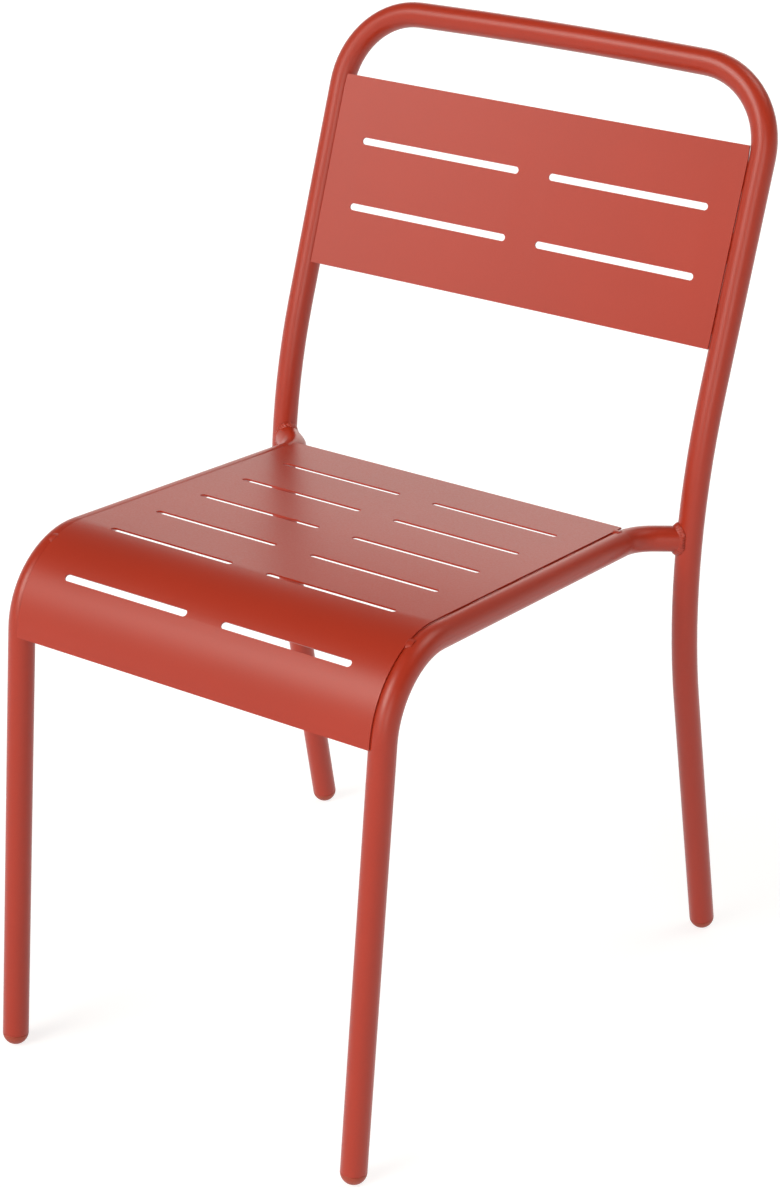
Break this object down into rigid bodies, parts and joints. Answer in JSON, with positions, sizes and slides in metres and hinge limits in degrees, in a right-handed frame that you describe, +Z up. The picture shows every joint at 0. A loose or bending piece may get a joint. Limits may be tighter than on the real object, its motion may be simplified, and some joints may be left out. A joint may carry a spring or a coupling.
{
  "type": "metal bistro chair",
  "caption": "Armless stacking chair of bent round tube, with a slotted sheet seat that rolls over the front, a slotted bowed back panel and plastic foot plugs.",
  "frame": {"origin": "on the floor, under the middle of the chair's outer box", "axes": "+Z up, -Y towards the front of the seat, +X to the right as seen from the front"},
  "size_m": [0.4604, 0.6039, 0.8159],
  "materials": {
    "painted_tube": "satin powder coat, terracotta red",
    "painted_sheet": "satin powder coat, terracotta red",
    "painted_weld": "satin powder coat over the weld bead",
    "plug_plastic": "matte moulded plastic, terracotta brown"
  },
  "bodies": {
    "root": {"back_hoop": "painted_tube", "side_tube_left": "painted_tube", "side_tube_right": "painted_tube", "rear_cross_tube": "painted_tube", "front_cross_tube": "painted_tube", "seat_panel": "painted_sheet", "back_panel": "painted_sheet", "rear_joint_weld_left": "painted_weld", "rear_joint_weld_right": "painted_weld", "seat_welds_left": "painted_weld", "seat_welds_right": "painted_weld", "back_welds_left": "painted_weld", "back_welds_right": "painted_weld", "cross_tube_welds_left": "painted_weld", "cross_tube_welds_right": "painted_weld", "foot_plug_front_left": "plug_plastic", "foot_plug_front_right": "plug_plastic", "foot_plug_rear_left": "plug_plastic", "foot_plug_rear_right": "plug_plastic"}
  },
  "joints": []
}
